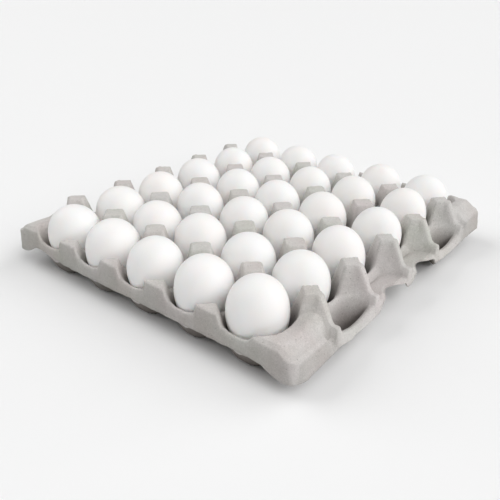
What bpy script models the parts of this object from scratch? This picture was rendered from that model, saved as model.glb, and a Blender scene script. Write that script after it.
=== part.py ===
"""A moulded pulp tray for thirty eggs, with its eggs, built for Blender 4.5 in metres, +Z up.

The tray lies along X (five cups) and Y (six cups), its feet on z = 0 and its middle over the origin.
Its upper face is one height above each point of the floor, worked out from the sizes below, and the
sheet is the pulp's thickness under that face.
"""

import math
import random

import bmesh
import bpy
import numpy as np
from mathutils import Matrix, Vector

# Driving dimensions, in metres unless a name says otherwise.
PITCH = 0.049            # cup to cup, both ways
COLUMNS = 5              # cups along X
ROWS = 6                 # cups along Y
HALF_LENGTH_X = 0.1459   # middle of the tray to its rim along X
HALF_LENGTH_Y = 0.1438   # and along Y
TRAY_HEIGHT = 0.048      # floor to the top of a post
PULP = 0.0013            # thickness of the pulp sheet
CORNER_RADIUS = 0.009    # rim's corners, seen from above
EDGE_ROUNDING = 0.0016   # rounding of the creases between the cups, posts and margins
GRID_STEP = 0.00245      # spacing of the sheet's points before it is simplified
TRAY_TRIANGLES = 3000    # triangles left in the simplified sheet, one face of the tray
OUTER_LINE = ROWS // 2 - 1   # post line beside rows A and F, counted from the middle
PULP_COLOUR = (0.50, 0.49, 0.47)
PULP_ROUGHNESS = 0.95

# Cups.
END_ROW_INSET = 0.0018   # the cups of rows A and F stand this much further in
FOOT_RADIUS = 0.0075     # flat foot of a cup
CUP_RADIUS = 0.0270      # a cup's wall reaches the height of the posts here
CUP_POWER = 2.5          # how late the cup's wall turns up
CUP_LIMIT = 1.3          # the wall is carried on this far past that radius
FOOT_PRESS = 0.0007      # the underside is pressed flat on the floor up to this height

# Posts between the cups.
POST_HALF = 0.0078       # half width of a post's flat top
EDGE_POST_HALF = 0.0062  # the same for the posts along the X rims
POST_STEEPNESS = 3.0     # fall for each metre outwards
POST_ROUNDNESS = 3.0     # 2 is a round post, higher is squarer
SADDLE = 0.0260          # ridge between two cups
SADDLE_AT_X_RIM = 0.0286
SADDLE_AT_CORNER = 0.0305
SADDLE_AT_Y_RIM = 0.0280
SADDLE_RISE_X = (2.1 * PITCH, 2.45 * PITCH)   # the ridge rises to its rim height between these
SADDLE_RISE_CORNER = (2.0 * PITCH, 2.3 * PITCH)
SADDLE_RISE_Y = (HALF_LENGTH_Y - 0.010, HALF_LENGTH_Y - 0.004)
SADDLE_ROUNDING = 0.0020
HALF_POST_HEIGHT = 0.0395   # posts cut by the Y rims
HALF_POST_SETBACK = 0.0045  # flat top's outer edge to the Y rim
HALF_POST_DEPTH = 0.0050    # length of the flat top, inwards
HALF_POST_SLOPE = 1.9       # fall of its outer face for each metre outwards

# Margins along the X rims, from the last post line out to the rim.
RIB_TOP_OUT = 0.0062     # a rib's flat top ends here, past the post line
RIB_LEDGE_OUT = 0.0164   # and its steep front reaches the ledge here
RIB_LEDGE = 0.0280       # height of the ledge
RIB_END_HALF = 0.0026    # half width of the ledge
SCOOP_LIP_OUT = 0.0186   # outer lip of the half cup in rows B and E
SCOOP_LIP_WIDTH = 0.0045
SCOOP_LIP = 0.0160
SCOOP_LIP_RISE = 0.0050  # the lip climbs this much towards the ribs
SCOOP_LIP_FALL = 0.25    # and falls this much for each metre outwards
SCOOP_RADIUS = 0.0262
SCOOP_FLOOR = 0.0070     # the half cups end above the floor
SCOOP_ROUNDING = 0.0050
GRIP_SHELF = 0.0232      # shelf of rows C and D
GRIP_CREASE_IN = 0.0006  # its inner edge drops from the saddle between these two lines
GRIP_CREASE_OUT = 0.0052
GRIP_SAG = 0.0010        # the shelf sinks this much towards the rim
NOTCH_DEPTH = 0.0078     # finger notch in that shelf's rim
NOTCH_HALF = 0.0160
NOTCH_POWER = 1.5
BLOCK_TOP = 0.0328       # corner blocks
HIGH_BLOCK_TOP = 0.0362  # the two of them where x and y have one sign
BLOCK_CREASE_OUT = 0.0088
BLOCK_FOOT = 0.0225      # the block's slope ends at this height
HIGH_BLOCK_FOOT = 0.0280
BLOCK_FOOT_OUT = 0.0212
BLOCK_RISE = 0.0045      # the block climbs this much to the foot of its post
BLOCK_RISE_LENGTH = 0.0130
BLOCK_EDGE = 0.0026      # width of the block's fall to the Y rim
BLOCK_EDGE_DROP = 0.0060
BLOCK_EDGE_SPAN = (2.2 * PITCH, 2.4 * PITCH)  # that fall sets in between these, along X

# Hem: the rim's turned-down edge, given by the height of its lower edge.
HEM_SCOOP = 0.0128
HEM_GRIP = 0.0205
HEM_RIB = 0.0165
HEM_CORNER = 0.0105
HEM_HIGH_CORNER = 0.0130
HEM_Y_RIM = 0.0170
HEM_HIGH_NOTCH = 0.0215  # beside a high corner block the Y rim's hem is cut up to here
HEM_NOTCH_SPAN = (1.6 * PITCH, 2.3 * PITCH)   # rising between these, along X
HEM_TURN_START = 0.0020  # beside a rib, the lower edge changes height between these two lines
HEM_TURN_END = 0.0085
HEM_CORNER_SPAN = (2.3 * PITCH, 2.75 * PITCH)  # it turns to the corner's height between these
HEM_DRAFT = 0.0014       # the hem leans out by this much, away from the middle

# Eggs.
EGG_RADIUS = 0.0213
EGG_LENGTH = 0.0568
EGG_WIDTHS = (0.975, 1.010)   # spread of the eggs' sizes, as shares of the two above
EGG_LENGTHS = (0.965, 1.020)
EGG_TAPER = 0.13         # how much narrower the pointed end is
EGG_SEGMENTS = 10
EGG_RINGS = 7
EGG_CLEARANCE = 0.0012   # kept between an egg and the pulp
SLOPE_STEP = 0.0002      # over this length the pulp's slope under an egg is measured
EGG_ROLL = 0.0120        # middle of an egg over the round of its lower end, on which it rolls
EGG_SEED = 7
EGG_LEAN_DEGREES = 6.0   # most eggs lean by up to this much
SHELL_COLOUR = (0.88, 0.87, 0.85)
SHELL_ROUGHNESS = 0.55
# Eggs that plainly lean: degrees from upright, and the way they lean, degrees from +X towards +Y.
LEANING_EGGS = {
    "a1": (10.0, 0.0),
    "a2": (8.0, 10.0),
    "a3": (6.0, 350.0),
    "a4": (5.0, 0.0),
    "d3": (6.0, 280.0),
    "d4": (6.0, 280.0),
    "d5": (10.0, 10.0),
}


def smooth_max(a, b, width):
    """The larger of two heights, with the corner between them rounded over width."""
    mix = np.clip(0.5 + 0.5 * (a - b) / width, 0.0, 1.0)
    return b + (a - b) * mix + width * mix * (1.0 - mix)


def smooth_min(a, b, width):
    """The smaller of two heights, rounded in the same way."""
    return -smooth_max(-a, -b, width)


def ramp(value, start, end):
    """Nought before start, one past end, smooth between."""
    t = np.clip((value - start) / (end - start), 0.0, 1.0)
    return t * t * (3.0 - 2.0 * t)


def slope(value, start, end, low, high):
    """A straight slope from low at start to high at end, level outside."""
    t = np.clip((value - start) / (end - start), 0.0, 1.0)
    return low + (high - low) * t


def bowl(r, radius):
    """Upper face of a cup, at distance r from its middle."""
    climb = np.maximum(r - FOOT_RADIUS, 0.0) / (radius - FOOT_RADIUS)
    return PULP + (TRAY_HEIGHT - PULP) * np.minimum(climb, CUP_LIMIT) ** CUP_POWER


def post(dx, dy, half, height):
    """A post's flat top and its steep sides, at dx and dy from its middle."""
    reach = (dx ** POST_ROUNDNESS + dy ** POST_ROUNDNESS) ** (1.0 / POST_ROUNDNESS)
    return height - POST_STEEPNESS * np.maximum(reach - half, 0.0)


def inner_surface(x, y):
    """Cups, posts and saddles, between the last post lines along X."""
    half_columns = COLUMNS / 2.0
    half_rows = ROWS / 2.0
    column = np.clip(np.round(x / PITCH), -(COLUMNS // 2), COLUMNS // 2)
    row = np.clip(np.floor(y / PITCH), -half_rows, half_rows - 1.0) + 0.5
    row_y = row * PITCH
    row_y = np.where(np.abs(row) >= half_rows - 0.5, row_y - np.sign(row) * END_ROW_INSET, row_y)
    r = np.hypot(x - column * PITCH, y - row_y)

    post_x = np.floor(x / PITCH) + 0.5
    dx = np.abs(x - post_x * PITCH)
    row_line = np.round(y / PITCH)
    dy = np.abs(y - row_line * PITCH)
    at_x_rim = np.abs(post_x) >= half_columns
    half = np.where(at_x_rim, EDGE_POST_HALF, POST_HALF)
    posts = post(dx, dy, half, TRAY_HEIGHT)

    # The posts that the Y rims cut are lower, and slope outwards.
    out = np.abs(y) - (HALF_LENGTH_Y - HALF_POST_SETBACK)
    inwards = np.maximum(POST_HALF - HALF_POST_DEPTH - out, 0.0)
    cut = post(dx, inwards, POST_HALF, HALF_POST_HEIGHT) - HALF_POST_SLOPE * np.maximum(out, 0.0)
    posts = np.where(np.abs(row_line) >= half_rows, cut, posts)

    near_x_rim = ramp(np.abs(x), *SADDLE_RISE_X)
    corner = ramp(np.abs(y), *SADDLE_RISE_CORNER)
    at_rim = SADDLE_AT_X_RIM + corner * (SADDLE_AT_CORNER - SADDLE_AT_X_RIM)
    saddle = SADDLE + near_x_rim * (at_rim - SADDLE)
    near_y_rim = ramp(np.abs(y), *SADDLE_RISE_Y) * (1.0 - near_x_rim)
    saddle = saddle + near_y_rim * (SADDLE_AT_Y_RIM - saddle)
    ridge = smooth_max(posts, saddle, SADDLE_ROUNDING)
    return smooth_min(bowl(r, CUP_RADIUS), ridge, EDGE_ROUNDING)


def at_corner(x, y, low, high):
    """The value at a corner: two opposite corners of the tray are low, and two are high."""
    return np.where(x * y > 0.0, high, low)


def margin_surface(x, y):
    """Ribs, half cups, grip shelves and corner blocks, past the last post lines."""
    out = np.abs(x) - COLUMNS / 2.0 * PITCH
    across = np.abs(y) / PITCH

    # Ribs run out from the posts, steeply down to a level ledge.
    rib_crest = slope(out, RIB_TOP_OUT, RIB_LEDGE_OUT, TRAY_HEIGHT, RIB_LEDGE)
    rib_half = slope(out, 0.0, RIB_LEDGE_OUT, EDGE_POST_HALF, RIB_END_HALF)
    beside = np.abs(across - np.clip(np.round(across), 0, OUTER_LINE)) * PITCH
    ribs = rib_crest - POST_STEEPNESS * np.maximum(beside - rib_half, 0.0)

    # Half cups with a raised outer lip, rows B and E.
    scoop_y = (across - OUTER_LINE + 0.5) * PITCH
    hollow = bowl(np.hypot(PITCH / 2.0 - np.minimum(out, PITCH / 2.0), scoop_y), SCOOP_RADIUS)
    hollow = smooth_max(np.minimum(hollow, SADDLE_AT_X_RIM), SCOOP_FLOOR, SCOOP_ROUNDING)
    lip = SCOOP_LIP + SCOOP_LIP_RISE * (scoop_y / (PITCH / 2.0)) ** 2
    lip = lip - SCOOP_LIP_FALL * np.maximum(out - SCOOP_LIP_OUT, 0.0)
    wall = slope(out, SCOOP_LIP_OUT - SCOOP_LIP_WIDTH, SCOOP_LIP_OUT, 0.0, 1.0)
    scoops = smooth_max(hollow, wall * lip, SADDLE_ROUNDING)

    # Grip shelves, rows C and D.
    grips = slope(out, GRIP_CREASE_IN, GRIP_CREASE_OUT, SADDLE_AT_X_RIM, GRIP_SHELF)
    grips = grips - GRIP_SAG * ramp(out, GRIP_CREASE_OUT, PITCH / 2.0)

    # Corner blocks, rows A and F, which climb a little towards their posts.
    top = at_corner(x, y, BLOCK_TOP, HIGH_BLOCK_TOP)
    foot = at_corner(x, y, BLOCK_FOOT, HIGH_BLOCK_FOOT)
    blocks = slope(out, BLOCK_CREASE_OUT, BLOCK_FOOT_OUT, top, foot)
    past_post = (across - OUTER_LINE) * PITCH - EDGE_POST_HALF
    near_post = 1.0 - ramp(out, BLOCK_CREASE_OUT, BLOCK_FOOT_OUT)
    blocks = blocks + near_post * slope(past_post, 0.0, BLOCK_RISE_LENGTH, BLOCK_RISE, 0.0)

    base = np.where(across < OUTER_LINE - 1, grips, np.where(across < OUTER_LINE, scoops, blocks))
    return smooth_max(ribs, base, EDGE_ROUNDING)


def upper_face(x, y):
    """Height of the tray's upper face over the floor."""
    line = COLUMNS / 2.0 * PITCH
    height = np.where(np.abs(x) < line, inner_surface(x, y), margin_surface(x, y))
    # The corner blocks fall to the Y rims as well.
    drop = slope(np.abs(y), HALF_LENGTH_Y - BLOCK_EDGE, HALF_LENGTH_Y, 0.0, BLOCK_EDGE_DROP)
    drop = drop * ramp(np.abs(x), *BLOCK_EDGE_SPAN)
    return height - drop


def hem_height(x, y, on_x_rim):
    """Lower edge of the turned-down rim."""
    across = np.abs(y) / PITCH
    beside = np.abs(across - np.clip(np.round(across), 0, OUTER_LINE)) * PITCH
    corner_hem = at_corner(x, y, HEM_CORNER, HEM_HIGH_CORNER)
    corner_span = slope(np.abs(y), OUTER_LINE * PITCH, HALF_LENGTH_Y, HEM_RIB, corner_hem)
    span = np.where(across < OUTER_LINE, HEM_SCOOP, corner_span)
    span = np.where(across < OUTER_LINE - 1, HEM_GRIP, span)
    x_rim = HEM_RIB + (span - HEM_RIB) * ramp(beside, HEM_TURN_START, HEM_TURN_END)
    notch = at_corner(x, y, HEM_Y_RIM, HEM_HIGH_NOTCH)
    y_rim = slope(np.abs(x), *HEM_NOTCH_SPAN, HEM_Y_RIM, notch)
    y_rim = y_rim + (corner_hem - y_rim) * ramp(np.abs(x), *HEM_CORNER_SPAN)
    return np.where(on_x_rim, x_rim, y_rim)


def rim_half_x(y):
    """Middle of the tray to its X rim, with the finger notches of rows C and D."""
    t = np.clip((np.abs(y) - 0.5 * PITCH) / NOTCH_HALF, -1.0, 1.0)
    return HALF_LENGTH_X - NOTCH_DEPTH * (1.0 - t * t) ** NOTCH_POWER


def rim_points(u, v):
    """Places of the grid's points, from -1 to 1 both ways, drawn in to the rim's outline."""
    x = u * HALF_LENGTH_X
    y = v * HALF_LENGTH_Y
    start = COLUMNS / 2.0 * PITCH + GRIP_CREASE_OUT
    stretch = (rim_half_x(y) - start) / (HALF_LENGTH_X - start)
    past = np.maximum(np.abs(x) - start, 0.0)
    x = np.sign(x) * (np.minimum(np.abs(x), start) + past * stretch)
    in_x = np.maximum(np.abs(x) - (HALF_LENGTH_X - CORNER_RADIUS), 0.0)
    in_y = np.maximum(np.abs(y) - (HALF_LENGTH_Y - CORNER_RADIUS), 0.0)
    pull = np.maximum(in_x, in_y) / np.maximum(np.hypot(in_x, in_y), 1e-9)
    pull = np.where((in_x > 0.0) & (in_y > 0.0), pull, 1.0)
    x = np.where(in_x > 0.0, np.sign(x) * (HALF_LENGTH_X - CORNER_RADIUS + in_x * pull), x)
    y = np.where(in_y > 0.0, np.sign(y) * (HALF_LENGTH_Y - CORNER_RADIUS + in_y * pull), y)
    return x, y


def make_material(name, colour, roughness):
    """A plain Principled material."""
    material = bpy.data.materials.new(name)
    material.use_nodes = True
    shader = material.node_tree.nodes["Principled BSDF"]
    shader.inputs["Base Color"].default_value = (*colour, 1.0)
    shader.inputs["Roughness"].default_value = roughness
    shader.inputs["Metallic"].default_value = 0.0
    return material


def add_object(name, mesh, material):
    """A new object for a mesh, with its material."""
    part = bpy.data.objects.new(name, mesh)
    mesh.materials.append(material)
    bpy.context.scene.collection.objects.link(part)
    return part


def make_tray(material):
    """The pulp tray: a grid over the upper face, simplified and given the pulp's thickness."""
    count_x = round(2.0 * HALF_LENGTH_X / GRID_STEP)
    count_y = round(2.0 * HALF_LENGTH_Y / GRID_STEP)
    # The first and last lines are doubled: the outer one of each pair becomes the hem's lower edge.
    u = np.concatenate(([-1.0], np.linspace(-1.0, 1.0, count_x + 1), [1.0]))
    v = np.concatenate(([-1.0], np.linspace(-1.0, 1.0, count_y + 1), [1.0]))
    grid_u, grid_v = np.meshgrid(u, v, indexing="ij")
    x, y = rim_points(grid_u, grid_v)
    z = upper_face(x, y)
    hem_x = np.zeros_like(x, dtype=bool)
    hem_x[0, :] = True
    hem_x[-1, :] = True
    hem = hem_x.copy()
    hem[:, 0] = True
    hem[:, -1] = True
    z = np.where(hem, hem_height(x, y, hem_x), z)
    reach = np.maximum(np.hypot(x, y), 1e-9)
    x = np.where(hem, x * (1.0 + HEM_DRAFT / reach), x)
    y = np.where(hem, y * (1.0 + HEM_DRAFT / reach), y)

    sheet = bmesh.new()
    points = [[sheet.verts.new(p) for p in zip(*line)] for line in zip(x, y, z)]
    for i in range(len(u) - 1):
        for j in range(len(v) - 1):
            sheet.faces.new((points[i][j], points[i + 1][j], points[i + 1][j + 1], points[i][j + 1]))
    bmesh.ops.triangulate(sheet, faces=sheet.faces[:])
    triangles = len(sheet.faces)
    mesh = bpy.data.meshes.new("tray")
    sheet.to_mesh(mesh)
    sheet.free()
    tray = add_object("tray", mesh, material)
    simplify = tray.modifiers.new("simplify", "DECIMATE")
    simplify.ratio = TRAY_TRIANGLES / triangles
    thickness = tray.modifiers.new("thickness", "SOLIDIFY")
    thickness.thickness = PULP
    thickness.offset = -1.0
    press_feet(tray)
    return tray


def press_feet(tray):
    """Take the modifiers' result as the mesh, and press its feet flat on the floor."""
    graph = bpy.context.evaluated_depsgraph_get()
    mesh = bpy.data.meshes.new_from_object(tray.evaluated_get(graph))
    tray.modifiers.clear()
    tray.data = mesh
    for vertex in mesh.vertices:
        if vertex.co.z < FOOT_PRESS:
            vertex.co.z = 0.0


def egg_points(radius, length):
    """Points of an egg about its own middle, pointed end down, in rings from the bottom up."""
    rings = []
    for ring in range(1, EGG_RINGS):
        t = -math.cos(math.pi * ring / EGG_RINGS)
        width = radius * math.sqrt(1.0 - t * t) * (1.0 + EGG_TAPER * t - 0.5 * EGG_TAPER * EGG_TAPER)
        rings.append((0.5 * length * t, width))
    return rings


def egg_mesh(name, radius, length, turn):
    """A closed egg of turned rings, leaning by the rotation turn."""
    shape = bmesh.new()
    bottom = shape.verts.new((0.0, 0.0, -0.5 * length))
    top = shape.verts.new((0.0, 0.0, 0.5 * length))
    loops = []
    for z, width in egg_points(radius, length):
        angles = [2.0 * math.pi * k / EGG_SEGMENTS for k in range(EGG_SEGMENTS)]
        loops.append([shape.verts.new((width * math.cos(a), width * math.sin(a), z)) for a in angles])
    for k in range(EGG_SEGMENTS):
        n = (k + 1) % EGG_SEGMENTS
        shape.faces.new((bottom, loops[0][n], loops[0][k]))
        shape.faces.new((top, loops[-1][k], loops[-1][n]))
        for low, high in zip(loops, loops[1:]):
            shape.faces.new((low[k], low[n], high[n], high[k]))
    bmesh.ops.transform(shape, matrix=turn, verts=shape.verts[:])
    mesh = bpy.data.meshes.new(name)
    shape.to_mesh(mesh)
    shape.free()
    mesh.shade_smooth()
    return mesh


def resting_height(mesh, x, y):
    """Lowest height of an egg's middle that keeps the clearance to the pulp all round."""
    points = np.array([v.co[:] for v in mesh.vertices])
    px = points[:, 0] + x
    py = points[:, 1] + y
    floor = upper_face(px, py)
    steep_x = (upper_face(px + SLOPE_STEP, py) - floor) / SLOPE_STEP
    steep_y = (upper_face(px, py + SLOPE_STEP) - floor) / SLOPE_STEP
    facing = 1.0 / np.sqrt(1.0 + steep_x ** 2 + steep_y ** 2)
    return float(np.max(floor + EGG_CLEARANCE / facing - points[:, 2]))


def make_eggs(material):
    """Thirty eggs, uneven in size and lean, each lowered into its cup."""
    chance = random.Random(EGG_SEED)
    for row in range(ROWS):
        for column in range(COLUMNS):
            place = f"{'abcdef'[row]}{column + 1}"
            radius = EGG_RADIUS * chance.uniform(*EGG_WIDTHS)
            length = EGG_LENGTH * chance.uniform(*EGG_LENGTHS)
            lean = EGG_LEAN_DEGREES * chance.random()
            way = chance.uniform(0.0, 360.0)
            lean, way = LEANING_EGGS.get(place, (lean, way))
            axis = Vector((-math.sin(math.radians(way)), math.cos(math.radians(way)), 0.0))
            turn = Matrix.Rotation(math.radians(lean), 4, axis)
            mesh = egg_mesh(f"egg_{place}", radius, length, turn)
            roll = EGG_ROLL * math.sin(math.radians(lean))
            x = (column - COLUMNS // 2) * PITCH + roll * math.cos(math.radians(way))
            y = (row - (ROWS - 1) / 2.0) * PITCH + roll * math.sin(math.radians(way))
            if row in (0, ROWS - 1):
                y -= math.copysign(END_ROW_INSET, y)
            egg = add_object(f"egg_{place}", mesh, material)
            egg.location = (x, y, resting_height(mesh, x, y))


def main():
    for old in list(bpy.data.objects):
        bpy.data.objects.remove(old, do_unlink=True)
    pulp = make_material("pulp", PULP_COLOUR, PULP_ROUGHNESS)
    shell = make_material("eggshell", SHELL_COLOUR, SHELL_ROUGHNESS)
    make_tray(pulp)
    make_eggs(shell)


main()
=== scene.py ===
import math

import bmesh
import bpy
import numpy as np
from mathutils import Matrix, Vector, noise


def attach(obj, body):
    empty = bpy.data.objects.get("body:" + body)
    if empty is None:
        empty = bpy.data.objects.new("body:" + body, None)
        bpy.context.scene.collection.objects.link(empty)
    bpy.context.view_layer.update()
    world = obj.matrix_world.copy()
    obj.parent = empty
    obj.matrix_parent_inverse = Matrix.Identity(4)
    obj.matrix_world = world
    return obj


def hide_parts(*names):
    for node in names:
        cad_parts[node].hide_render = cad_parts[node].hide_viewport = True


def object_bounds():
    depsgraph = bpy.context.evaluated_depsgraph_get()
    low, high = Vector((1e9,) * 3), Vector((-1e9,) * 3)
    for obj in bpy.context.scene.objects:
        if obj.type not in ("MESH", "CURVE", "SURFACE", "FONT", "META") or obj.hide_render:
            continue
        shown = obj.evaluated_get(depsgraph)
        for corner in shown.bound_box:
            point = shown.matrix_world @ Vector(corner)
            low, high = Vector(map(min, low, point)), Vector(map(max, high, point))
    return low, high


# A grey pulp tray of thirty white eggs, in metres, +Z up. The tray is one skin worked out from a height
# over each point, closed round its rim, and every egg takes its place and size from its solid in the frame.

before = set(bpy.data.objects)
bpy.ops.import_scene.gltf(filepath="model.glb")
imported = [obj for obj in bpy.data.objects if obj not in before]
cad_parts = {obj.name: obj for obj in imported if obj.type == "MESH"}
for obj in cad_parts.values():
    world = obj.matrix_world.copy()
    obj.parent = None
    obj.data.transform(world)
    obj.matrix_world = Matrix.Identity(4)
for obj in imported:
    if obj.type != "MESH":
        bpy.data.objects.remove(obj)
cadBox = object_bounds()
print("frame loaded:", len(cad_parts), "solids")


# Small helpers for heights and shapes

def smoothMax(a, b, width):
    mix = np.clip(0.5 + 0.5 * (a - b) / width, 0.0, 1.0)  # the corner between two heights is rounded over width
    return b + (a - b) * mix + width * mix * (1.0 - mix)


def smoothMin(a, b, width):
    return -smoothMax(-a, -b, width)


def ramp(value, start, end):
    t = np.clip((value - start) / (end - start), 0.0, 1.0)
    return t * t * (3.0 - 2.0 * t)


def slope(value, start, end, low, high):
    return low + (high - low) * np.clip((value - start) / (end - start), 0.0, 1.0)


def noiseAt(points, size, seed, octaves=2):
    shift = Vector((seed * 3.17, seed * 1.31, seed * 2.23))
    scale = 1.0 / size
    return np.array([noise.fractal(Vector(p) * scale + shift, 1.0, 2.0, octaves) for p in points])


# The tray's sizes, the same as the solid's

pitch = 0.049       # cup to cup
columns = 5
rows = 6
outerLine = rows // 2 - 1

tray = {
    "halfX": 0.1459, "halfY": 0.1438, "height": 0.048, "cornerRadius": 0.009, "rounding": 0.0010,
    "floor": 0.0013,                                    # top of a cup's foot
    "footRadius": 0.0075, "cupRadius": 0.0270, "cupPower": 2.5, "cupLimit": 1.3, "endRowInset": 0.0018,
    "sideSlack": 0.0015,                                # the outer columns' cups are this much wider
    "postHalf": 0.0100, "edgePostHalf": 0.0085, "postSteepness": 3.0, "postPower": 1.15,   # near to a diamond
    "saddle": 0.0260, "saddleX": 0.0286, "saddleCorner": 0.0305, "saddleY": 0.0280, "saddleRounding": 0.0015,
    "halfPost": {"height": 0.0366, "half": 0.0098, "setback": 0.0010, "blockHalf": 0.0150},
    "rimLip": {"height": 0.0272, "start": 0.0030, "end": 0.0015, "rounding": 0.0030},
    "rib": {"topOut": 0.0085, "ledgeOut": 0.0175, "ledge": 0.0288, "endHalf": 0.0028,
            "endSteepness": 9.0, "steepFrom": 0.0060, "rounding": 0.0015},
    "scoop": {"lipOut": 0.0192, "lipWidth": 0.0035, "lip": 0.0178, "rise": 0.0080, "fall": 0.25,
              "radius": 0.0262, "floor": 0.0045, "rounding": 0.0040},
    "grip": {"shelf": 0.0232, "creaseIn": 0.0006, "creaseOut": 0.0052, "sag": 0.0010,
             "notchDepth": 0.0078, "notchHalf": 0.0160, "notchPower": 1.5,
             "fold": 0.0016, "foldOut": 0.0045, "foldWidth": 0.0012, "foldHalf": 0.0085},
    "block": {"top": (0.0328, 0.0362), "foot": (0.0248, 0.0285), "creaseOut": 0.0088, "footOut": 0.0212,
              "groove": 0.0055, "grooveOut": (0.0120, 0.0170), "grooveWidth": (0.0040, 0.0090),
              "rise": 0.0045, "riseLength": 0.0130, "edge": 0.0026, "edgeDrop": 0.0060},
    "hem": {"scoop": 0.0128, "grip": 0.0205, "rib": 0.0140, "corner": (0.0105, 0.0130), "yRim": 0.0170,
            "notch": 0.0215, "turnStart": 0.0020, "turnEnd": 0.0085, "draft": 0.0014},
}


def bowl(r, radius):
    climb = np.maximum(r - tray["footRadius"], 0.0) / (radius - tray["footRadius"])
    reach = np.minimum(climb, tray["cupLimit"]) ** tray["cupPower"]
    return tray["floor"] + (tray["height"] - tray["floor"]) * reach


def post(dx, dy, half, height):
    power = tray["postPower"]
    reach = (dx ** power + dy ** power) ** (1.0 / power)
    return height - tray["postSteepness"] * np.maximum(reach - half, 0.0)


def atCorner(x, y, lowHigh):  # two opposite corners are low, and two are high
    return np.where(x * y > 0.0, lowHigh[1], lowHigh[0])


def innerSurface(x, y):  # cups, posts and the saddles between them
    column = np.clip(np.round(x / pitch), -(columns // 2), columns // 2)
    row = np.clip(np.floor(y / pitch), -rows / 2.0, rows / 2.0 - 1.0) + 0.5
    rowY = row * pitch
    rowY = np.where(np.abs(row) >= (rows - 1) / 2.0, rowY - np.sign(row) * tray["endRowInset"], rowY)
    r = np.hypot(x - column * pitch, y - rowY)
    cups = bowl(r - tray["sideSlack"] * ramp(np.abs(x), 2.1 * pitch, 2.4 * pitch), tray["cupRadius"])
    lip = tray["rimLip"]
    nearRim = ramp(np.abs(y), tray["halfY"] - lip["start"], tray["halfY"] - lip["end"])
    cups = cups + nearRim * (smoothMax(cups, lip["height"], lip["rounding"]) - cups)

    postX = np.floor(x / pitch) + 0.5
    dx = np.abs(x - postX * pitch)
    rowLine = np.round(y / pitch)
    dy = np.abs(y - rowLine * pitch)
    atSide = np.abs(postX) >= columns / 2.0
    half = np.where(atSide, tray["edgePostHalf"], tray["postHalf"])
    posts = post(dx, dy, half, tray["height"])

    cut = tray["halfPost"]
    inwards = np.maximum(tray["halfY"] - cut["setback"] - np.abs(y), 0.0)
    low = atSide & (x * y < 0.0)  # at a low corner there is none, only the block's flat top
    top = np.where(low, tray["block"]["top"][0], cut["height"])
    cutPosts = post(dx, inwards, np.where(low, cut["blockHalf"], cut["half"]), top)
    posts = np.where(np.abs(rowLine) >= rows / 2.0, cutPosts, posts)

    nearX = ramp(np.abs(x), 2.1 * pitch, 2.45 * pitch)
    atRim = tray["saddleX"] + ramp(np.abs(y), 2.0 * pitch, 2.3 * pitch) * (tray["saddleCorner"] - tray["saddleX"])
    saddle = tray["saddle"] + nearX * (atRim - tray["saddle"])
    nearY = ramp(np.abs(y), tray["halfY"] - 0.010, tray["halfY"] - 0.004) * (1.0 - nearX)
    saddle = saddle + nearY * (tray["saddleY"] - saddle)
    return smoothMin(cups, smoothMax(posts, saddle, tray["saddleRounding"]), tray["rounding"])


def marginSurface(x, y):  # ribs, half cups, grip shelves and corner blocks, out to the X rims
    rib, scoop, grip, block = tray["rib"], tray["scoop"], tray["grip"], tray["block"]
    out = np.abs(x) - columns / 2.0 * pitch
    across = np.abs(y) / pitch

    crest = slope(out, rib["topOut"], rib["ledgeOut"], tray["height"], rib["ledge"])
    half = smoothMax(tray["edgePostHalf"] - out, rib["endHalf"], rib["rounding"])  # the diamond, then a thin rib
    beside = np.abs(across - np.clip(np.round(across), 0, outerLine)) * pitch
    steepness = slope(out, rib["steepFrom"], rib["ledgeOut"], tray["postSteepness"], rib["endSteepness"])
    ribs = crest - steepness * np.maximum(beside - half, 0.0)

    scoopY = (across - outerLine + 0.5) * pitch
    hollow = bowl(np.hypot(pitch / 2.0 - np.minimum(out, pitch / 2.0), scoopY), scoop["radius"])
    hollow = smoothMax(np.minimum(hollow, tray["saddleX"]), scoop["floor"], scoop["rounding"])
    lip = scoop["lip"] + scoop["rise"] * (scoopY / (pitch / 2.0)) ** 2
    lip = lip - scoop["fall"] * np.maximum(out - scoop["lipOut"], 0.0)
    wall = slope(out, scoop["lipOut"] - scoop["lipWidth"], scoop["lipOut"], 0.0, 1.0)
    scoops = smoothMax(hollow, wall * lip, tray["saddleRounding"])

    grips = slope(out, grip["creaseIn"], grip["creaseOut"], tray["saddleX"], grip["shelf"])
    grips = grips - grip["sag"] * ramp(out, grip["creaseOut"], pitch / 2.0)

    foldY = np.abs(np.abs(y) - 0.5 * pitch) / grip["foldHalf"]
    foldAt = grip["foldOut"] + 0.0025 * (np.abs(y) / pitch - 0.5)
    grips = grips - grip["fold"] * np.exp(-((out - foldAt) / grip["foldWidth"]) ** 2) * (1.0 - ramp(foldY, 0.6, 1.0))

    blocks = slope(out, block["creaseOut"], block["footOut"], atCorner(x, y, block["top"]), atCorner(x, y, block["foot"]))
    pastPost = (across - outerLine) * pitch - tray["edgePostHalf"]
    nearPost = 1.0 - ramp(out, block["creaseOut"], block["footOut"])
    blocks = blocks + nearPost * slope(pastPost, 0.0, block["riseLength"], block["rise"], 0.0)
    pastRib = (across - outerLine) * pitch - rib["endHalf"]
    blocks = blocks - block["groove"] * ramp(out, *block["grooveOut"]) * (1.0 - ramp(pastRib, *block["grooveWidth"]))

    base = np.where(across < outerLine - 1, grips, np.where(across < outerLine, scoops, blocks))
    return smoothMax(ribs, base, tray["rounding"])


def upperFace(x, y):
    block = tray["block"]
    height = np.where(np.abs(x) < columns / 2.0 * pitch, innerSurface(x, y), marginSurface(x, y))
    drop = slope(np.abs(y), tray["halfY"] - block["edge"], tray["halfY"], 0.0, block["edgeDrop"])
    return height - drop * ramp(np.abs(x), 2.2 * pitch, 2.4 * pitch)


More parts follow.
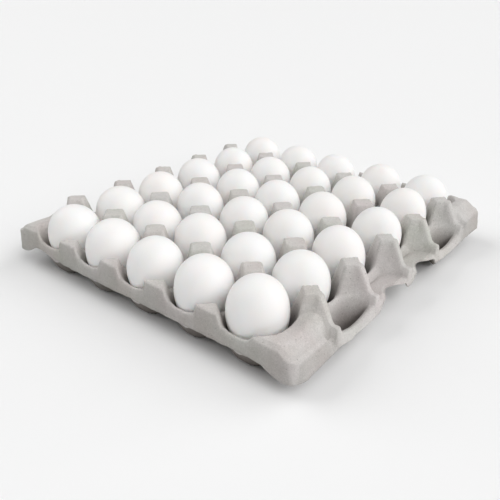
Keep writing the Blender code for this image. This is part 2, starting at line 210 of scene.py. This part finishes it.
def hemHeight(x, y, onXRim):
    hem = tray["hem"]
    across = np.abs(y) / pitch
    beside = np.abs(across - np.clip(np.round(across), 0, outerLine)) * pitch
    cornerHem = atCorner(x, y, hem["corner"])
    span = slope(np.abs(y), outerLine * pitch, tray["halfY"], hem["rib"], cornerHem)
    span = np.where(across < outerLine, hem["scoop"], span)
    span = np.where(across < outerLine - 1, hem["grip"], span)
    xRim = hem["rib"] + (span - hem["rib"]) * ramp(beside, hem["turnStart"], hem["turnEnd"])
    yRim = slope(np.abs(x), 1.6 * pitch, 2.3 * pitch, hem["yRim"], atCorner(x, y, (hem["yRim"], hem["notch"])))
    yRim = yRim + (cornerHem - yRim) * ramp(np.abs(x), 2.3 * pitch, 2.75 * pitch)
    return np.where(onXRim, xRim, yRim)


def rimHalfX(y):  # middle of the tray to its X rim, with the finger notches
    grip = tray["grip"]
    t = np.clip((np.abs(y) - 0.5 * pitch) / grip["notchHalf"], -1.0, 1.0)
    return tray["halfX"] - grip["notchDepth"] * (1.0 - t * t) ** grip["notchPower"]


# The fine skin of pulp

skin = {
    "linesX": 205, "linesY": 202,      # grid lines each way
    "crowding": 1.5,                   # how much closer the lines stand on the posts' steep sides
    "thickness": 0.0019,
    "edgeRadius": 0.0019,              # the rim's upper edge is turned over on this radius
    "turnSteps": 4, "hemSteps": 5,
    "lump": (0.0060, 0.00022),         # size and height of the pulp's lumps
    "grit": (0.0019, 0.00009),
    "rimWander": (0.0090, 0.00045),    # the outline wanders in and out a little
    "hemWander": (0.0070, 0.00060),    # and so does the hem's torn lower edge
    "seed": 3,
}


def gridLines(half, count, lineOffset):
    # Places from -1 to 1, closer together where the posts' sides are steep.
    fine = np.linspace(-half, half, 4001)
    toPost = np.abs((fine / pitch + lineOffset) - np.round(fine / pitch + lineOffset)) * pitch
    crowd = 1.0 + skin["crowding"] * ramp(toPost, 0.000, 0.003) * (1.0 - ramp(toPost, 0.012, 0.016))
    total = np.concatenate(([0.0], np.cumsum(0.5 * (crowd[1:] + crowd[:-1]))))
    return np.interp(np.linspace(0.0, total[-1], count), total, fine) / half


def outlinePoints(u, v, inset):
    # Points of the grid drawn in to the rim's outline, all of it moved inwards by inset.
    halfX, halfY, radius = tray["halfX"] - inset, tray["halfY"] - inset, tray["cornerRadius"] - inset
    x, y = u * halfX, v * halfY
    start = columns / 2.0 * pitch + tray["grip"]["creaseOut"]
    stretch = (rimHalfX(y) - inset - start) / (halfX - start)
    x = np.sign(x) * (np.minimum(np.abs(x), start) + np.maximum(np.abs(x) - start, 0.0) * stretch)
    inX = np.maximum(np.abs(x) - (halfX - radius), 0.0)
    inY = np.maximum(np.abs(y) - (halfY - radius), 0.0)
    pull = np.maximum(inX, inY) / np.maximum(np.hypot(inX, inY), 1e-9)
    pull = np.where((inX > 0.0) & (inY > 0.0), pull, 1.0)
    x = np.where(inX > 0.0, np.sign(x) * (halfX - radius + inX * pull), x)
    y = np.where(inY > 0.0, np.sign(y) * (halfY - radius + inY * pull), y)
    return x, y


def underFace(x, y):
    # The lower side keeps the thickness square to the upper one: the lowest ball that fits under it.
    thickness = skin["thickness"]
    lowest = upperFace(x, y) - thickness
    for share in (0.45, 0.8, 1.0):
        drop = thickness * math.sqrt(1.0 - share * share)
        for k in range(8):
            angle = math.pi * (k + 0.5 * (share == 0.8)) / 4.0
            sideX, sideY = share * thickness * math.cos(angle), share * thickness * math.sin(angle)
            lowest = np.minimum(lowest, upperFace(x + sideX, y + sideY) - drop)
    return np.maximum(lowest, 0.0)


def makePulpTray():
    edge, thickness = skin["edgeRadius"], skin["thickness"]
    u = gridLines(tray["halfX"], skin["linesX"], 0.5)
    v = gridLines(tray["halfY"], skin["linesY"], 0.0)
    gridU, gridV = np.meshgrid(u, v, indexing="ij")
    x, y = outlinePoints(gridU, gridV, edge)
    countU, countV = x.shape
    upper = np.stack([x, y, upperFace(x, y)], -1).reshape(-1, 3)
    lower = np.stack([x, y, underFace(x, y)], -1).reshape(-1, 3)

    # Round the grid's edge once, anticlockwise.
    index = np.arange(countU * countV).reshape(countU, countV)
    border = np.concatenate([index[:-1, 0], index[-1, :-1], index[:0:-1, -1], index[0, :0:-1]])
    base = upper[border]
    ahead = np.roll(base[:, :2], -1, axis=0) - np.roll(base[:, :2], 1, axis=0)
    outwards = np.stack([ahead[:, 1], -ahead[:, 0]], -1)
    outwards /= np.linalg.norm(outwards, axis=1)[:, None]
    onXRim = np.abs(outwards[:, 0]) > np.abs(outwards[:, 1])
    wander = skin["hemWander"][1] * noiseAt(base * (1.0, 1.0, 0.0), skin["hemWander"][0], skin["seed"] + 5, 3)
    low = hemHeight(base[:, 0], base[:, 1], onXRim) + wander
    turn = np.minimum(edge, 0.6 * (base[:, 2] - low))
    draft = tray["hem"]["draft"]

    def ring(out, z):
        return np.column_stack([base[:, :2] + outwards * np.broadcast_to(out, z.shape)[:, None], z])

    rings = []
    for step in range(1, skin["turnSteps"] + 1):
        angle = 0.5 * math.pi * step / skin["turnSteps"]
        rings.append(ring(edge * math.sin(angle), base[:, 2] - turn * (1.0 - math.cos(angle))))
    top = base[:, 2] - turn
    for step in range(1, skin["hemSteps"] + 1):
        share = step / skin["hemSteps"]
        rings.append(ring(edge + draft * share, top + (low + 0.0004 - top) * share))
    rings.append(ring(edge + draft - 0.0004, low))
    rings.append(ring(edge + draft + 0.0004 - thickness, low))
    innerTop = np.maximum(lower[border, 2], low + 0.0008)
    for step in range(skin["hemSteps"]):
        share = 1.0 - step / skin["hemSteps"]
        rings.append(ring(edge - thickness + draft * share, innerTop + (low + 0.0004 - innerTop) * share))

    points = np.concatenate([upper, lower] + rings)
    mesh = bpy.data.meshes.new("pulp_tray")
    mesh.from_pydata(points.tolist(), [], trayFaces(index, border, len(rings)))
    mesh.validate()
    roughenPulp(mesh)
    mesh.shade_smooth()
    piece = bpy.data.objects.new("pulp_tray", mesh)
    bpy.context.scene.collection.objects.link(piece)
    return piece


def trayFaces(index, border, ringCount):
    count = index.size
    corners = (index[:-1, :-1], index[1:, :-1], index[1:, 1:], index[:-1, 1:])
    quads = np.stack([c.ravel() for c in corners], -1)
    faces = quads.tolist() + (quads[:, ::-1] + count).tolist()
    around = len(border)
    loops = [border] + [2 * count + k * around + np.arange(around) for k in range(ringCount)] + [border + count]
    for outer, nextOuter in zip(loops, loops[1:]):
        strip = np.stack([outer, nextOuter, np.roll(nextOuter, -1), np.roll(outer, -1)], -1)
        faces += strip.tolist()
    return faces


def roughenPulp(mesh):
    # Lumps and grit pushed along the normals; the feet stay flat, and the box stays the solid's.
    count = len(mesh.vertices)
    points = np.empty(count * 3, np.float32)
    mesh.vertices.foreach_get("co", points)
    points = points.reshape(-1, 3).astype(float)
    normals = np.array([n.vector[:] for n in mesh.vertex_normals])
    push = skin["lump"][1] * noiseAt(points, skin["lump"][0], skin["seed"], 2)
    push += skin["grit"][1] * noiseAt(points, skin["grit"][0], skin["seed"] + 1, 2)
    points += normals * push[:, None]
    wander = skin["rimWander"][1] * noiseAt(points * (1, 1, 0.4), skin["rimWander"][0], skin["seed"] + 2, 2)
    points[:, 0] -= np.sign(points[:, 0]) * ramp(np.abs(points[:, 0]), 0.132, 0.142) * (0.0003 + np.abs(wander))
    points[:, 1] -= np.sign(points[:, 1]) * ramp(np.abs(points[:, 1]), 0.132, 0.141) * (0.0003 + np.abs(wander))
    points[:, 2] = np.where(points[:, 2] < 0.0007, 0.0, points[:, 2])
    for axis in range(3):
        points[:, axis] = np.clip(points[:, axis], cadBox[0][axis], cadBox[1][axis])
    mesh.vertices.foreach_set("co", points.astype(np.float32).ravel())
    mesh.update()


# Eggs

egg = {
    "segments": 56, "rings": 36,
    "taper": 0.13,                 # how much narrower the pointed end is
    "clearance": 0.00015,          # between the shell and the pulp
    "unevenSize": 0.030, "uneven": 0.00022,
    "seed": 11,
}


def eggPlace(name):
    # The solid's two poles are its two farthest points; its middle, axis and width follow from them.
    points = np.array([v.co[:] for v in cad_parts[name].data.vertices])
    apart = np.linalg.norm(points[:, None] - points[None, :], axis=2)
    a, b = np.unravel_index(np.argmax(apart), apart.shape)
    bottom, top = (points[a], points[b]) if points[a][2] < points[b][2] else (points[b], points[a])
    middle = 0.5 * (bottom + top)
    axis = (top - bottom) / np.linalg.norm(top - bottom)
    off = points - middle
    width = np.linalg.norm(off - np.outer(off @ axis, axis), axis=1).max()
    return middle, axis, width, np.linalg.norm(top - bottom)


def makeEgg(name, number):
    middle, axis, radius, length = eggPlace(name)
    shape = bmesh.new()
    bmesh.ops.create_uvsphere(shape, u_segments=egg["segments"], v_segments=egg["rings"], radius=1.0)
    turn = Vector((0.0, 0.0, 1.0)).rotation_difference(Vector(axis)).to_matrix()
    for vertex in shape.verts:
        t = vertex.co.z
        swell = 1.0 + egg["taper"] * t - 0.5 * egg["taper"] ** 2
        vertex.co = Vector((vertex.co.x * radius * swell, vertex.co.y * radius * swell, 0.5 * length * t))
    points = np.array([turn @ v.co for v in shape.verts])
    bumps = noiseAt(points, egg["unevenSize"], egg["seed"] + number, 2) * egg["uneven"]
    points *= (1.0 + (bumps - egg["uneven"]) / radius)[:, None]
    place = middle + (0.0, 0.0, restOnPulp(points, middle) - middle[2])
    for vertex, point in zip(shape.verts, points + place):
        vertex.co = Vector(point)
    mesh = bpy.data.meshes.new(name + "_shell")
    shape.to_mesh(mesh)
    shape.free()
    mesh.shade_smooth()
    piece = bpy.data.objects.new(name + "_shell", mesh)
    bpy.context.scene.collection.objects.link(piece)
    return piece


def restOnPulp(points, middle):
    x, y = points[:, 0] + middle[0], points[:, 1] + middle[1]
    step = 0.0002
    floor = upperFace(x, y)
    steep = np.hypot(upperFace(x + step, y) - floor, upperFace(x, y + step) - floor) / step
    lowest = np.max(floor + egg["clearance"] * np.sqrt(1.0 + steep ** 2) - points[:, 2])
    return float(min(lowest, middle[2]))


# Materials

def newMaterial(name):
    material = bpy.data.materials.new(name)
    material.use_nodes = True
    return material, material.node_tree.nodes, material.node_tree.links, material.node_tree.nodes["Principled BSDF"]


def addNode(nodes, kind, **values):
    node = nodes.new(kind)
    for key, value in values.items():
        setattr(node, key, value)
    return node


def addRamp(nodes, stops):
    node = nodes.new("ShaderNodeValToRGB")
    elements = node.color_ramp.elements
    while len(elements) < len(stops):
        elements.new(0.5)
    for element, (place, colour) in zip(elements, stops):
        element.position = place
        element.color = (*colour, 1.0)
    return node


def makeMottleGroup():
    # Soft patches of two tints over a base colour, at one size.
    group = bpy.data.node_groups.new("mottle", "ShaderNodeTree")
    for name, kind in (("Base", "NodeSocketColor"), ("Tint", "NodeSocketColor"), ("Size", "NodeSocketFloat"),
                       ("Amount", "NodeSocketFloat"), ("Seed", "NodeSocketFloat")):
        group.interface.new_socket(name, in_out="INPUT", socket_type=kind)
    group.interface.new_socket("Colour", in_out="OUTPUT", socket_type="NodeSocketColor")
    group.interface.new_socket("Mask", in_out="OUTPUT", socket_type="NodeSocketFloat")
    nodes, links = group.nodes, group.links
    start, end = nodes.new("NodeGroupInput"), nodes.new("NodeGroupOutput")
    place = nodes.new("ShaderNodeTexCoord")
    shift = addNode(nodes, "ShaderNodeVectorMath", operation="ADD")
    patches = addNode(nodes, "ShaderNodeTexNoise")
    patches.inputs["Detail"].default_value = 2.0
    scale = addNode(nodes, "ShaderNodeMath", operation="DIVIDE")
    scale.inputs[0].default_value = 1.0
    spread = addNode(nodes, "ShaderNodeMapRange", clamp=True)
    spread.inputs["From Min"].default_value = 0.38
    spread.inputs["From Max"].default_value = 0.66
    amount = addNode(nodes, "ShaderNodeMath", operation="MULTIPLY")
    mix = addNode(nodes, "ShaderNodeMix", data_type="RGBA")
    links.new(place.outputs["Object"], shift.inputs[0])
    links.new(start.outputs["Seed"], shift.inputs[1])
    links.new(shift.outputs[0], patches.inputs["Vector"])
    links.new(start.outputs["Size"], scale.inputs[1])
    links.new(scale.outputs[0], patches.inputs["Scale"])
    links.new(patches.outputs["Fac"], spread.inputs["Value"])
    links.new(spread.outputs["Result"], amount.inputs[0])
    links.new(start.outputs["Amount"], amount.inputs[1])
    links.new(amount.outputs[0], mix.inputs["Factor"])
    links.new(start.outputs["Base"], mix.inputs["A"])
    links.new(start.outputs["Tint"], mix.inputs["B"])
    links.new(mix.outputs["Result"], end.inputs["Colour"])
    links.new(amount.outputs[0], end.inputs["Mask"])
    return group


def addMottle(nodes, links, group, base, tint, size, amount, seed):
    node = nodes.new("ShaderNodeGroup")
    node.node_tree = group
    if isinstance(base, tuple):
        node.inputs["Base"].default_value = (*base, 1.0)
    else:
        links.new(base, node.inputs["Base"])
    node.inputs["Tint"].default_value = (*tint, 1.0)
    node.inputs["Size"].default_value = size
    node.inputs["Amount"].default_value = amount
    node.inputs["Seed"].default_value = seed
    return node.outputs["Colour"]


pulpLook = {
    "darkHem": {"out": (0.1438, 0.1452), "along": (0.0960, 0.1010), "yRim": (0.1426, 0.1440),
                "tone": (0.80, 0.80, 0.79)},
    "base": (0.570, 0.552, 0.535),
    "green": (0.520, 0.540, 0.470), "pink": (0.610, 0.530, 0.525), "pale": (0.670, 0.655, 0.640),
    "greenSize": 0.060, "pinkSize": 0.045, "paleSize": 0.012,
    # painted shade in the cups: the colour and the heights over which their insides darken towards the feet
    "recessShade": (0.300, 0.284, 0.268), "recessShadeFrom": 0.0060, "recessShadeTo": 0.0300, "insideX": 0.1412, "insideY": 0.1405,
    "fibreDark": 0.80, "fibreLight": 1.10,
    "fibreSize": 0.0011, "fleckSize": 0.0045,
    "bump": 0.35, "bumpDistance": 0.0006,
}


def shadeHems(nodes, links, colour):  # the hems at the corners and along the Y rims are a little darker
    hem = pulpLook["darkHem"]
    place = addNode(nodes, "ShaderNodeTexCoord")
    split = addNode(nodes, "ShaderNodeSeparateXYZ")
    links.new(place.outputs["Object"], split.inputs[0])
    masks = []
    for axis, (start, end) in ((0, hem["out"]), (1, hem["along"]), (1, hem["yRim"])):
        size = addNode(nodes, "ShaderNodeMath", operation="ABSOLUTE")
        mask = addNode(nodes, "ShaderNodeMapRange")
        mask.inputs["From Min"].default_value = start
        mask.inputs["From Max"].default_value = end
        links.new(split.outputs[axis], size.inputs[0])
        links.new(size.outputs[0], mask.inputs["Value"])
        masks.append(mask.outputs["Result"])
    corner = addNode(nodes, "ShaderNodeMath", operation="MULTIPLY")
    either = addNode(nodes, "ShaderNodeMath", operation="MAXIMUM")
    tone = addNode(nodes, "ShaderNodeMix", data_type="RGBA", blend_type="MULTIPLY")
    tone.inputs[7].default_value = (*hem["tone"], 1.0)
    links.new(masks[0], corner.inputs[0])
    links.new(masks[1], corner.inputs[1])
    links.new(corner.outputs[0], either.inputs[0])
    links.new(masks[2], either.inputs[1])
    links.new(either.outputs[0], tone.inputs[0])
    links.new(colour, tone.inputs[6])
    return tone.outputs[2]


def makePulpMaterial(mottle):
    material, nodes, links, shader = newMaterial("grey_pulp")
    look = pulpLook
    colour = addMottle(nodes, links, mottle, look["base"], look["green"], look["greenSize"], 0.55, 1.7)
    colour = addMottle(nodes, links, mottle, colour, look["pink"], look["pinkSize"], 0.50, 4.2)
    colour = addMottle(nodes, links, mottle, colour, look["pale"], look["paleSize"], 0.35, 8.8)
    place = nodes.new("ShaderNodeTexCoord")
    # Fibres: fine noise, bent by a coarser one so that it mats together.
    fibres = nodes.new("ShaderNodeTexNoise")
    fibres.inputs["Scale"].default_value = 1.0 / look["fibreSize"]
    fibres.inputs["Detail"].default_value = 3.0
    fibres.inputs["Distortion"].default_value = 1.6
    shade = addRamp(nodes, [(0.25, (look["fibreDark"],) * 3), (0.75, (look["fibreLight"],) * 3)])
    tone = addNode(nodes, "ShaderNodeMix", data_type="RGBA", blend_type="MULTIPLY")
    tone.inputs["Factor"].default_value = 1.0
    links.new(place.outputs["Object"], fibres.inputs["Vector"])
    links.new(fibres.outputs["Fac"], shade.inputs["Fac"])
    links.new(colour, tone.inputs["A"])
    links.new(shade.outputs["Color"], tone.inputs["B"])
    # Flecks of darker stock.
    flecks = addNode(nodes, "ShaderNodeTexVoronoi", feature="F1")
    flecks.inputs["Scale"].default_value = 1.0 / look["fleckSize"]
    spots = addRamp(nodes, [(0.06, (0.55, 0.54, 0.52)), (0.13, (1.0, 1.0, 1.0))])
    speck = addNode(nodes, "ShaderNodeMix", data_type="RGBA", blend_type="MULTIPLY")
    speck.inputs["Factor"].default_value = 0.6
    links.new(place.outputs["Object"], flecks.inputs["Vector"])
    links.new(flecks.outputs["Distance"], spots.inputs["Fac"])
    links.new(tone.outputs["Result"], speck.inputs["A"])
    links.new(spots.outputs["Color"], speck.inputs["B"])
    # Painted shade: the pulp inside the cups is darkened towards their feet, where shade falls deep in the hollows.
    axes = nodes.new("ShaderNodeSeparateXYZ")
    depth = addNode(nodes, "ShaderNodeMapRange", interpolation_type="SMOOTHSTEP")
    depth.inputs["From Min"].default_value = look["recessShadeFrom"]
    depth.inputs["From Max"].default_value = look["recessShadeTo"]
    depth.inputs["To Min"].default_value = 1.0
    depth.inputs["To Max"].default_value = 0.0
    links.new(place.outputs["Object"], axes.inputs["Vector"])
    links.new(axes.outputs["Z"], depth.inputs["Value"])
    recessShadeMask = depth.outputs["Result"]
    for axis, reach in (("X", look["insideX"]), ("Y", look["insideY"])):
        side = addNode(nodes, "ShaderNodeMath", operation="ABSOLUTE")
        inside = addNode(nodes, "ShaderNodeMath", operation="LESS_THAN")
        inside.inputs[1].default_value = reach
        both = addNode(nodes, "ShaderNodeMath", operation="MULTIPLY")
        links.new(axes.outputs[axis], side.inputs[0])
        links.new(side.outputs[0], inside.inputs[0])
        links.new(recessShadeMask, both.inputs[0])
        links.new(inside.outputs[0], both.inputs[1])
        recessShadeMask = both.outputs[0]
    # the painted shade of the cup hollows is multiplied into the pulp colour here
    recessShade = addNode(nodes, "ShaderNodeMix", data_type="RGBA", blend_type="MULTIPLY")
    recessShade.inputs["B"].default_value = (*look["recessShade"], 1.0)
    links.new(recessShadeMask, recessShade.inputs["Factor"])
    links.new(speck.outputs["Result"], recessShade.inputs["A"])
    links.new(shadeHems(nodes, links, recessShade.outputs["Result"]), shader.inputs["Base Color"])
    # Relief of the fibres over softer pits.
    pits = nodes.new("ShaderNodeTexNoise")
    pits.inputs["Scale"].default_value = 1.0 / 0.0032
    pits.inputs["Detail"].default_value = 2.0
    relief = addNode(nodes, "ShaderNodeMath", operation="ADD")
    bump = nodes.new("ShaderNodeBump")
    bump.inputs["Strength"].default_value = look["bump"]
    bump.inputs["Distance"].default_value = look["bumpDistance"]
    links.new(place.outputs["Object"], pits.inputs["Vector"])
    links.new(fibres.outputs["Fac"], relief.inputs[0])
    links.new(pits.outputs["Fac"], relief.inputs[1])
    links.new(relief.outputs[0], bump.inputs["Height"])
    links.new(bump.outputs["Normal"], shader.inputs["Normal"])
    rough = addNode(nodes, "ShaderNodeMapRange")
    rough.inputs["To Min"].default_value = 0.86
    rough.inputs["To Max"].default_value = 1.0
    links.new(pits.outputs["Fac"], rough.inputs["Value"])
    links.new(rough.outputs["Result"], shader.inputs["Roughness"])
    shader.inputs["Specular IOR Level"].default_value = 0.22
    return material


shellLook = {
    "base": (0.885, 0.877, 0.863),
    "warm": (0.925, 0.890, 0.870), "cool": (0.905, 0.912, 0.918),
    "warmSize": 0.050, "coolSize": 0.035,
    "poreSize": 0.00055, "grainSize": 0.0016,
    "bump": 0.10, "bumpDistance": 0.0003,
}


def makeShellMaterial(mottle):
    material, nodes, links, shader = newMaterial("white_eggshell")
    look = shellLook
    colour = addMottle(nodes, links, mottle, look["base"], look["warm"], look["warmSize"], 0.7, 2.9)
    colour = addMottle(nodes, links, mottle, colour, look["cool"], look["coolSize"], 0.5, 7.1)
    links.new(colour, shader.inputs["Base Color"])
    place = nodes.new("ShaderNodeTexCoord")
    pores = addNode(nodes, "ShaderNodeTexVoronoi", feature="F1")
    pores.inputs["Scale"].default_value = 1.0 / look["poreSize"]
    grain = nodes.new("ShaderNodeTexNoise")
    grain.inputs["Scale"].default_value = 1.0 / look["grainSize"]
    grain.inputs["Detail"].default_value = 3.0
    relief = addNode(nodes, "ShaderNodeMath", operation="ADD")
    bump = nodes.new("ShaderNodeBump")
    bump.inputs["Strength"].default_value = look["bump"]
    bump.inputs["Distance"].default_value = look["bumpDistance"]
    rough = addNode(nodes, "ShaderNodeMapRange")
    rough.inputs["To Min"].default_value = 0.46
    rough.inputs["To Max"].default_value = 0.62
    for texture in (pores, grain):
        links.new(place.outputs["Object"], texture.inputs["Vector"])
    links.new(pores.outputs["Distance"], relief.inputs[0])
    links.new(grain.outputs["Fac"], relief.inputs[1])
    links.new(relief.outputs[0], bump.inputs["Height"])
    links.new(bump.outputs["Normal"], shader.inputs["Normal"])
    links.new(grain.outputs["Fac"], rough.inputs["Value"])
    links.new(rough.outputs["Result"], shader.inputs["Roughness"])
    shader.inputs["Specular IOR Level"].default_value = 0.35
    shader.inputs["Subsurface Weight"].default_value = 0.25
    shader.inputs["Subsurface Radius"].default_value = (0.0040, 0.0026, 0.0020)
    shader.inputs["Subsurface Scale"].default_value = 1.0
    return material


# Floor, light and camera

studio = {
    "floorSize": 60.0, "floorColour": (0.88, 0.88, 0.88),
    "world": 0.04, "worldSeen": 0.95,    # as light, and as the pale wall behind
    "softness": 50.0,    # degrees across each lamp
    "lamps": {           # azimuth from +X towards +Y, elevation, power
        "right": (-8.0, 38.0, 1.80), "back_right": (62.0, 37.0, 1.20), "left": (-164.0, 36.0, 1.50),
        "front": (-40.0, 46.0, 0.22), "top": (0.0, 90.0, 0.28),
    },
}

view = {
    "azimuth": 35.981, "elevation": 27.111, "roll": 1.153,      # degrees; azimuth 0 looks along +Y
    "place": (6.163 * pitch, -7.357 * pitch, tray["height"] + 3.898 * pitch),
    "lens": 42.05, "sensor": 36.0, "shift": -0.0946,
}


def makeFloor():
    mesh = bpy.data.meshes.new("floor")
    half = 0.5 * studio["floorSize"]
    mesh.from_pydata([(-half, -half, 0.0), (half, -half, 0.0), (half, half, 0.0), (-half, half, 0.0)], [], [(0, 1, 2, 3)])
    floor = bpy.data.objects.new("floor", mesh)
    bpy.context.scene.collection.objects.link(floor)
    material, nodes, links, shader = newMaterial("pale_floor")
    shader.inputs["Base Color"].default_value = (*studio["floorColour"], 1.0)
    shader.inputs["Roughness"].default_value = 0.9
    shader.inputs["Specular IOR Level"].default_value = 0.1
    mesh.materials.append(material)


def makeLights():
    world = bpy.data.worlds.new("soft_light")
    world.use_nodes = True
    nodes, links = world.node_tree.nodes, world.node_tree.links
    rays = addNode(nodes, "ShaderNodeLightPath")
    both = addNode(nodes, "ShaderNodeMixShader")
    light = nodes["Background"]
    wall = addNode(nodes, "ShaderNodeBackground")
    for background, strength in ((light, studio["world"]), (wall, studio["worldSeen"])):
        background.inputs["Color"].default_value = (1.0, 1.0, 1.0, 1.0)
        background.inputs["Strength"].default_value = strength
    links.new(rays.outputs["Is Camera Ray"], both.inputs[0])
    links.new(light.outputs[0], both.inputs[1])
    links.new(wall.outputs[0], both.inputs[2])
    links.new(both.outputs[0], nodes["World Output"].inputs["Surface"])
    bpy.context.scene.world = world
    for name, (azimuth, elevation, power) in studio["lamps"].items():
        light = bpy.data.lights.new(name, "SUN")
        light.angle = math.radians(studio["softness"])
        light.energy = power
        lamp = bpy.data.objects.new(name, light)
        a, e = math.radians(azimuth), math.radians(elevation)
        aim = Vector((math.cos(a) * math.cos(e), math.sin(a) * math.cos(e), math.sin(e)))
        lamp.rotation_euler = aim.to_track_quat("Z", "Y").to_euler()
        bpy.context.scene.collection.objects.link(lamp)
    bpy.context.scene.view_settings.view_transform = "Standard"


def makeCamera():
    camera = bpy.data.cameras.new("camera")
    camera.sensor_width = view["sensor"]
    camera.lens = view["lens"]
    camera.shift_x = view["shift"]
    holder = bpy.data.objects.new("camera", camera)
    a, e, r = (math.radians(view[key]) for key in ("azimuth", "elevation", "roll"))
    back = Vector((math.sin(a) * math.cos(e), -math.cos(a) * math.cos(e), math.sin(e)))
    right = Vector((math.cos(a), math.sin(a), 0.0))
    up = back.cross(right)
    rolledRight = right * math.cos(r) + up * math.sin(r)
    rolledUp = up * math.cos(r) - right * math.sin(r)
    turn = Matrix((rolledRight, rolledUp, back)).transposed().to_4x4()
    holder.matrix_world = Matrix.Translation(Vector(view["place"])) @ turn
    bpy.context.scene.collection.objects.link(holder)
    bpy.context.scene.camera = holder


# Put it together

makeFloor()
makeLights()
makeCamera()
print("floor, light and camera made")

mottleGroup = makeMottleGroup()
pulpMaterial = makePulpMaterial(mottleGroup)
shellMaterial = makeShellMaterial(mottleGroup)

pulpTray = makePulpTray()
pulpTray.data.materials.append(pulpMaterial)
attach(pulpTray, "root")
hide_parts("tray")
print("tray made:", len(pulpTray.data.polygons), "faces")

eggNodes = sorted(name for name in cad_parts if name.startswith("egg_"))
for eggNumber, eggName in enumerate(eggNodes):
    shell = makeEgg(eggName, eggNumber)
    shell.data.materials.append(shellMaterial)
    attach(shell, "root")
    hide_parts(eggName)
print("eggs made:", len(eggNodes))

bpy.context.view_layer.update()
